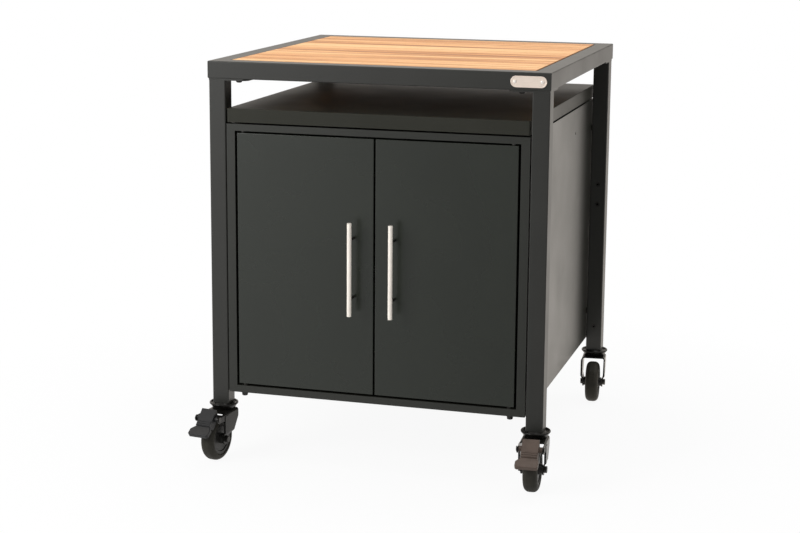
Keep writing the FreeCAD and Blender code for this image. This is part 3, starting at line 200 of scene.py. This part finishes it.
def bevelled(name, node, body, finish, width, segments=2):
    """Stands for a CAD node with a merged copy of it, whose sharp edges are broken by a bevel."""
    shape = bmesh.new()
    shape.from_mesh(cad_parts[node].data)
    bmesh.ops.remove_doubles(shape, verts=shape.verts, dist=MERGE)
    bmesh.ops.dissolve_limit(shape, angle_limit=FLAT, verts=shape.verts, edges=shape.edges)
    edges = [edge for edge in shape.edges if edge.is_manifold and edge.calc_face_angle(0.0) > SHARP]
    bmesh.ops.bevel(shape, geom=edges, offset=width, offset_type="OFFSET", segments=segments, profile=0.5,
                    affect="EDGES", material=-1, clamp_overlap=True)
    return finished(name, shape, body, finish, [node])


def finished(name, shape, body, finish, stands_for=()):
    """Makes a piece of a bmesh, smooth but for its sharp edges, and fixes it to its body."""
    for face in shape.faces:
        face.smooth = True
    for edge in shape.edges:
        edge.smooth = edge.is_manifold and edge.calc_face_angle(0.0) < SHARP
    mesh = bpy.data.meshes.new(name)
    shape.to_mesh(mesh)
    shape.free()
    mesh.materials.append(finish.material)
    piece = bpy.data.objects.new(name, mesh)
    bpy.context.scene.collection.objects.link(piece)
    even = piece.modifiers.new("even_faces", "WEIGHTED_NORMAL")
    even.keep_sharp = True
    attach(piece, body)
    if stands_for:
        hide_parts(*stands_for)
    return piece


bevelled("corner_plates_cut", "corner_plates", "cart", frame_coat, width=0.0002)
bevelled("insert_ledges_cut", "insert_ledges", "cart", frame_coat, width=0.0005)

# Worktop insert
#
# Ten slats of oiled acacia run from side to side over three battens. Each slat is sawn from its own
# board, so tone and figure change at every joint. Each slat turns darker over the last 3 mm towards its
# ends.

SLAT_COUNT = 10
SLAT_GAP = 0.0024
SAP_WOOD = (0.87, 0.595, 0.30)
PALE_WOOD = (0.81, 0.47, 0.215)
HONEY_WOOD = (0.71, 0.35, 0.145)
BROWN_WOOD = (0.49, 0.215, 0.08)
HEART_WOOD = (0.28, 0.112, 0.036)
END_DARK_START = 0.003
END_DARK_FULL = 0.0004


def acacia(name, front, pitch, half_length):
    """Oiled acacia in boards of the given pitch, with its grain along X, darker towards the ends."""
    wood = Finish(name, IOR=1.33)
    x, y, z = (wood.node("SeparateXYZ", {}, {"Vector": wood.place}, axis) for axis in "XYZ")
    board = wood.node("Math", {"operation": "FLOOR"}, {0: (y - front) * (1 / pitch)})
    chance = [wood.node("TexWhiteNoise", {"noise_dimensions": "1D"}, {"W": board + start})
              for start in (3.5, 40.5, 80.5)]
    log = wood.node("CombineXYZ", {}, {"X": x + 9.0 * chance[0], "Y": y + 0.4 * chance[1], "Z": z})
    bend = wood.noise(wood.stretch(log, (1.6, 9.0, 9.0)), 1.0, 2.0)
    bent = wood.node("VectorMath", {"operation": "ADD"},
                     {0: log, 1: wood.node("CombineXYZ", {}, {"Y": 0.018 * bend, "Z": 0.010 * bend})})
    bands = wood.noise(wood.stretch(bent, (1.2, 34.0, 30.0)), 1.0, 2.0, 0.5)
    rings = wood.noise(wood.stretch(bent, (2.0, 150.0, 110.0)), 1.0, 3.0, 0.6)
    fibres = wood.noise(wood.stretch(bent, (14.0, 1100.0, 900.0)), 1.0, 2.0, 0.6)
    figure = 0.58 * bands + 0.30 * rings + 0.12 * fibres
    stops = [(0.34, HEART_WOOD), (0.42, BROWN_WOOD), (0.49, HONEY_WOOD), (0.56, PALE_WOOD), (0.70, SAP_WOOD)]
    colour = wood.node("ValToRGB", {"stops": stops}, {"Fac": figure + 0.13 * (chance[2] - 0.5)})
    pores = wood.fit(wood.noise(wood.stretch(bent, (28.0, 1500.0, 1200.0)), 1.0, 1.0), 0.60, 0.68)
    colour = wood.mix(0.45 * pores, colour, HEART_WOOD)
    # Darker over the last few millimetres towards each end of a slat, on the top face as well.
    from_middle = wood.node("Math", {"operation": "ABSOLUTE"}, {0: x})
    end_darkening = wood.fit(from_middle, half_length - END_DARK_START, half_length - END_DARK_FULL, 0.0, 0.8)
    colour = wood.mix(end_darkening, colour, HEART_WOOD)
    wood.show(Base_Color=colour, Roughness=wood.fit(rings, 0.3, 0.7, 0.62, 0.50))
    wood.relief((1.0 - pores, 0.00012), (fibres, 0.00006), (bands, 0.0002))
    return wood


slats_low, slats_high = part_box("worktop_slats")
slat_pitch = (slats_high.y - slats_low.y + SLAT_GAP) / SLAT_COUNT
slat_wood = acacia("oiled_acacia", slats_low.y - SLAT_GAP / 2, slat_pitch, slats_high.x)
finish_node("worktop_slats", slat_wood)
bevelled("worktop_battens_planed", "worktop_battens", "cart", slat_wood, width=0.0012)

# Bare plate and its rivets
#
# A small bar of satin nickel with round ends and a raised rim, pressed from sheet and held on the
# front rail by two polished rivets. It is left plain.

NICKEL = (0.92, 0.79, 0.69)
RIVET_NICKEL = (1.0, 0.93, 0.86)


def satin_metal(name, colour, roughness, grain, dark, metallic):
    """Metal brushed one way: the grain is drawn out along the axis with the smallest scale."""
    metal = Finish(name, Metallic=metallic)
    lines = metal.noise(metal.stretch(metal.place, grain), 1.0, 2.0, 0.6)
    clouds = metal.noise(metal.place, 45.0, 2.0)
    shadow = tuple(dark * share for share in colour)
    metal.show(Base_Color=metal.mix(metal.fit(0.7 * lines + 0.3 * clouds, 0.35, 0.62), shadow, colour),
               Roughness=metal.fit(lines, 0.3, 0.7, roughness + 0.06, roughness - 0.05))
    metal.relief((lines, 0.00001))
    return metal


badge_metal = satin_metal("satin_nickel", NICKEL, roughness=0.46, grain=(60.0, 2200.0, 2200.0),
                          dark=0.88, metallic=0.75)
bevelled("badge_plate_pressed", "badge_plate", "cart", badge_metal, width=0.0003)
rivet_metal = satin_metal("polished_nickel", RIVET_NICKEL, roughness=0.22, grain=(400.0, 400.0, 400.0),
                          dark=0.94, metallic=0.6)
finish_node("badge_rivets", rivet_metal)

# Bolts, threaded inserts and plugs
#
# Button-head bolts of blackened steel hold the rails to the corner plates and the cabinet to the
# legs. The inserts are blackened too, and the plugs in the leg ends are moulded in nylon.


def blackened_steel(name, colour, roughness):
    """Steel with a thin black finish that is rubbed back to grey in places."""
    steel = Finish(name, Metallic=0.55)
    spots = steel.noise(steel.place, 900.0, 3.0, 0.65)
    rubs = steel.noise(steel.place, 130.0, 2.0)
    worn = tuple(2.6 * share for share in colour)
    steel.show(Base_Color=steel.mix(steel.fit(spots * rubs, 0.24, 0.44), colour, worn),
               Roughness=steel.fit(rubs, 0.3, 0.7, roughness + 0.08, roughness - 0.06))
    steel.relief((spots, 0.00002))
    return steel


black_steel = blackened_steel("blackened_steel", (0.022, 0.021, 0.019), roughness=0.30)
for node in ("corner_bolts", "cabinet_bolts", "leg_inserts"):
    finish_node(node, black_steel)


def moulded_plastic(name, colour, roughness):
    """Moulded plastic with the fine spark-eroded grain of its mould."""
    plastic = Finish(name, Metallic=0.0, IOR=1.3)
    grain = plastic.noise(plastic.place, 1500.0, 2.0, 0.6)
    flow = plastic.noise(plastic.place, 38.0, 2.0)
    paler = tuple(1.35 * share for share in colour)
    plastic.show(Base_Color=plastic.mix(plastic.fit(0.5 * grain + 0.5 * flow, 0.38, 0.62), colour, paler),
                 Roughness=plastic.fit(flow, 0.3, 0.7, roughness + 0.05, roughness - 0.05))
    plastic.relief((grain, 0.00004))
    return plastic


black_plastic = moulded_plastic("black_nylon", (0.020, 0.019, 0.018), roughness=0.48)
for node in ("leg_plugs", "cabinet_feet", "magnet_catches"):
    finish_node(node, black_plastic)

# Cabinet
#
# Panels and face frame of folded 1.5 mm steel sheet, spot welded, in the charcoal coat. The folds
# leave small radii, and a blind rivet closes a fixing hole high on each side.

cabinet_coat = powder_coat("charcoal_sheet_coat", (0.017, 0.018, 0.014), roughness=0.34)
for node in ("cabinet_side_left", "cabinet_side_right", "cabinet_back", "cabinet_base", "cabinet_top"):
    finish_node(node, cabinet_coat)
bevelled("face_frame_folded", "face_frame", "cart", cabinet_coat, width=0.0005)

RIVET_RADIUS = 0.0034
RIVET_HEIGHT = 0.0012
RIVET_BACK = 0.133
RIVET_RISE = 0.703


def put_in_order(elements, place):
    """Sorts vertices or faces by place, because a new sphere has them in no fixed order."""
    rank = {element: number for number, element in enumerate(sorted(elements, key=place))}
    elements.sort(key=rank.get)
    elements.index_update()


sides = bmesh.new()
for node, outward in (("cabinet_side_left", -1), ("cabinet_side_right", 1)):
    low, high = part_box(node)
    face = low.x if outward < 0 else high.x
    head = bmesh.ops.create_uvsphere(sides, u_segments=24, v_segments=12, radius=RIVET_RADIUS)["verts"]
    bmesh.ops.scale(sides, verts=head, vec=(RIVET_HEIGHT / RIVET_RADIUS, 1.0, 1.0))
    bmesh.ops.translate(sides, verts=head, vec=(face, RIVET_BACK, RIVET_RISE))
put_in_order(sides.verts, lambda vert: tuple(vert.co))
put_in_order(sides.faces, lambda rivet_face: sorted(vert.index for vert in rivet_face.verts))
finished("side_rivets", sides, "cart", cabinet_coat)

# Lid and shelf
#
# Two folded pans. The lid lies on four rubber pads on top of the cabinet, and the loose shelf lies on
# four brackets welded to the sides.

lid_coat = powder_coat("charcoal_lid_coat", (0.030, 0.030, 0.024), roughness=0.38, density=1.19)
finish_node("lid", lid_coat)
bevelled("shelf_folded", "shelf", "cart", cabinet_coat, width=0.0006)
bevelled("shelf_brackets_folded", "shelf_brackets", "cart", cabinet_coat, width=0.0004)


def rubber(name, colour, roughness):
    """Matt black rubber with a dusty bloom."""
    skin = Finish(name, Metallic=0.0, IOR=1.3)
    bloom = skin.noise(skin.place, 60.0, 4.0, 0.65)
    grain = skin.noise(skin.place, 1700.0, 2.0)
    dusty = tuple(1.6 * share for share in colour)
    skin.show(Base_Color=skin.mix(skin.fit(bloom, 0.35, 0.70), colour, dusty),
              Roughness=skin.fit(bloom, 0.3, 0.7, roughness - 0.05, roughness + 0.08))
    skin.relief((grain, 0.00004))
    return skin


pad_rubber = rubber("pad_rubber", (0.022, 0.022, 0.021), roughness=0.70)
finish_node("lid_pads", pad_rubber)

# Doors
#
# Each door is a folded pan closed by a liner, in a smoother charcoal than the cabinet, and turns on two
# shouldered pins. Its coat is tinted greener as painted light, for the green cast of the light on the
# fronts. Its bar handle is brushed stainless steel on two black posts.

# The green tint in this colour is painted light: the green cast of the light on the fronts.
door_coat = powder_coat("charcoal_door_coat", (0.0115, 0.0145, 0.0095), roughness=0.27, density=1.5)
STEEL = (1.0, 0.93, 0.84)
handle_steel = satin_metal("brushed_stainless", STEEL, roughness=0.40, grain=(2600.0, 2600.0, 45.0),
                           dark=0.90, metallic=0.25)
for side in ("left", "right"):
    finish_node(f"door_{side}", door_coat)
    finish_node(f"door_{side}_liner", door_coat)
    finish_node(f"handle_{side}_bar", handle_steel)
    finish_node(f"handle_{side}_posts", black_steel)
finish_node("door_pins", black_steel)

# Casters
#
# Forks bent from 3 mm sheet turn on a kingpin under a beaded raceway, in black coated steel round a
# zinc plated race. The wheels are nylon with a rubber tyre, on an axle bolt. The front pair have
# moulded brake pedals of one plastic, in two painted tones: the left one nearly black as painted
# shade, and the right one a lighter, browner grey as painted light.


def zinc_plate(name, colour, roughness):
    """Zinc plate with the faint milky spangle of a passivated part."""
    zinc = Finish(name, Metallic=1.0)
    cells = zinc.node("TexVoronoi", {}, {"Vector": zinc.place, "Scale": 700.0}, "Distance")
    milk = zinc.noise(zinc.place, 160.0, 3.0, 0.6)
    dull = tuple(0.68 * share for share in colour)
    zinc.show(Base_Color=zinc.mix(zinc.fit(milk + 0.3 * cells, 0.4, 0.85), colour, dull),
              Roughness=zinc.fit(milk, 0.3, 0.7, roughness - 0.06, roughness + 0.10))
    zinc.relief((milk, 0.00002))
    return zinc


caster_coat = powder_coat("caster_black_coat", (0.009, 0.0085, 0.0073), roughness=0.24, density=1.27)
finish_node("caster_stems", caster_coat)
race_zinc = zinc_plate("zinc_plate", (0.62, 0.62, 0.60), roughness=0.34)
finish_node("swivel_races", race_zinc)
tyre_rubber = rubber("tyre_rubber", (0.021, 0.0195, 0.015), roughness=0.62)
wheel_nylon = moulded_plastic("wheel_nylon", (0.014, 0.0135, 0.012), roughness=0.40)
for corner in CORNERS:
    caster = f"caster_{corner}"
    bevelled(f"{caster}_fork_bent", f"{caster}_fork", caster, caster_coat, width=0.0005)
    bevelled(f"{caster}_axle_turned", f"{caster}_axle", caster, black_steel, width=0.0004)
    finish_node(f"wheel_{corner}_core", wheel_nylon)
    finish_node(f"wheel_{corner}_tyre", tyre_rubber)
# One pedal plastic in two tones: the left is darker as painted shade, the right lighter and browner as
# painted light.
PEDAL_LIT_AND_SHADED_TONES = {"left": (0.015, 0.0152, 0.0158), "right": (0.078, 0.057, 0.046)}
for side, tone in PEDAL_LIT_AND_SHADED_TONES.items():
    pedal_plastic_painted_light = moulded_plastic(f"pedal_plastic_painted_light_{side}", tone, roughness=0.42)
    bevelled(f"pedal_front_{side}_moulded", f"caster_front_{side}_pedal", f"pedal_front_{side}",
             pedal_plastic_painted_light, width=0.0006)

# Floor
#
# A pale studio floor. It takes the soft shadow of the cart, and away from it turns to plain white.
# In gloss it shows as a lit floor: brighter towards the left in front, and even and warm behind.

FLOOR_HALF = 40.0
PAPER_GREY = (0.86, 0.86, 0.86)
PURE_WHITE = (1.0, 1.0, 1.0)
WARM_WHITE = (1.0, 0.94, 0.87)
floor_shape = bmesh.new()
bmesh.ops.create_grid(floor_shape, x_segments=1, y_segments=1, size=FLOOR_HALF)
floor_mesh = bpy.data.meshes.new("studio_floor")
floor_shape.to_mesh(floor_mesh)
floor_shape.free()
floor = bpy.data.objects.new("studio_floor", floor_mesh)
bpy.context.scene.collection.objects.link(floor)

paper = Finish("pale_floor", Roughness=0.9, Specular_IOR_Level=0.1)
paper.show(Base_Color=PAPER_GREY)
reach = paper.node("VectorMath", {"operation": "LENGTH"}, {0: paper.place}, "Value")
whiteness = paper.fit(reach, 0.6, 1.3, 0.93, 1.0)
seen = [paper.node("LightPath", {}, {}, f"Is {kind} Ray") for kind in ("Camera", "Glossy", "Transmission")]
across, along = (paper.node("SeparateXYZ", {}, {"Vector": paper.place}, axis) for axis in "XY")
before = paper.fit(0.25 * along - across, -0.5, 1.7, 0.55, 1.6)
behind = paper.fit(along, -0.8, 0.4)
mirrored = before * (1.0 - behind) + 1.35 * behind
strength = seen[1] * mirrored + (1.0 - seen[1])
tint = paper.mix(seen[1] * behind, PURE_WHITE, WARM_WHITE)
glow = paper.node("Emission", {}, {"Color": tint, "Strength": strength})
share = whiteness * (seen[0] + seen[2]) + seen[1]
sockets = {0: share, 1: Value(paper, paper.shader.outputs[0]), 2: glow}
paper.feed(paper.tree.nodes["Material Output"].inputs["Surface"], paper.node("MixShader", {}, sockets))
floor_mesh.materials.append(paper.material)

# Light
#
# White surroundings with a dimmer wall behind the camera, which the coated fronts reflect, one large
# soft box in front on the left and one overhead.

world = bpy.data.worlds.new("studio")
world.use_nodes = True
bpy.context.scene.world = world
room = Wiring(world.node_tree)
direction = room.node("TexCoord", {}, {}, "Generated")
towards_back, upwards = (room.node("SeparateXYZ", {}, {"Vector": direction}, axis) for axis in "YZ")
front_share = room.fit(towards_back, 0.0, -0.5)
walls = room.fit(upwards, 0.08, 0.36, 0.15, 1.6) * (1.0 - 0.7 * front_share)
is_camera = room.node("LightPath", {}, {}, "Is Camera Ray")
is_glossy = room.node("LightPath", {}, {}, "Is Glossy Ray")
is_through = room.node("LightPath", {}, {}, "Is Transmission Ray")
FILL = 0.46
strength = is_camera + is_through + is_glossy * walls + (1.0 - is_camera - is_through - is_glossy) * FILL
background = world.node_tree.nodes["Background"]
room.feed(background.inputs["Color"], room.mix(is_glossy * (1.0 - front_share), PURE_WHITE, WARM_WHITE))
room.feed(background.inputs["Strength"], strength)


def soft_box(name, place, target, size, power):
    """A square soft box that faces a point."""
    lamp = bpy.data.lights.new(name, "AREA")
    lamp.shape = "SQUARE"
    lamp.size = size
    lamp.energy = power
    box = bpy.data.objects.new(name, lamp)
    box.location = place
    box.rotation_mode = "QUATERNION"
    box.rotation_quaternion = (Vector(target) - Vector(place)).to_track_quat("-Z", "Y")
    box.visible_camera = False
    bpy.context.scene.collection.objects.link(box)


soft_box("left_soft_box", (-1.9, -2.5, 1.7), (0.0, -0.38, 0.6), size=1.4, power=55.0)
soft_box("top_soft_box", (0.1, 0.2, 3.3), (0.0, 0.0, 0.8), size=2.6, power=50.0)

# Camera
#
# It stands to the right of the doors, a little above the worktop, with a long lens.

CAMERA_PLACE = (1.08895, -3.93277, 1.25954)
TURN = math.radians(16.18)
DIP = math.radians(10.77)
ROLL = math.radians(0.42)
LENS = 79.24
SENSOR_WIDTH = 36.0
SHIFT_DOWN = -0.05
camera_data = bpy.data.cameras.new("photo_camera")
camera_data.lens = LENS
camera_data.sensor_width = SENSOR_WIDTH
camera_data.shift_y = SHIFT_DOWN
camera = bpy.data.objects.new("photo_camera", camera_data)
turned = Matrix.Rotation(TURN, 4, "Z") @ Matrix.Rotation(math.radians(90.0) - DIP, 4, "X")
camera.matrix_world = Matrix.Translation(CAMERA_PLACE) @ turned @ Matrix.Rotation(ROLL, 4, "Z")
bpy.context.scene.collection.objects.link(camera)
bpy.context.scene.camera = camera
bpy.context.scene.view_settings.view_transform = "Standard"
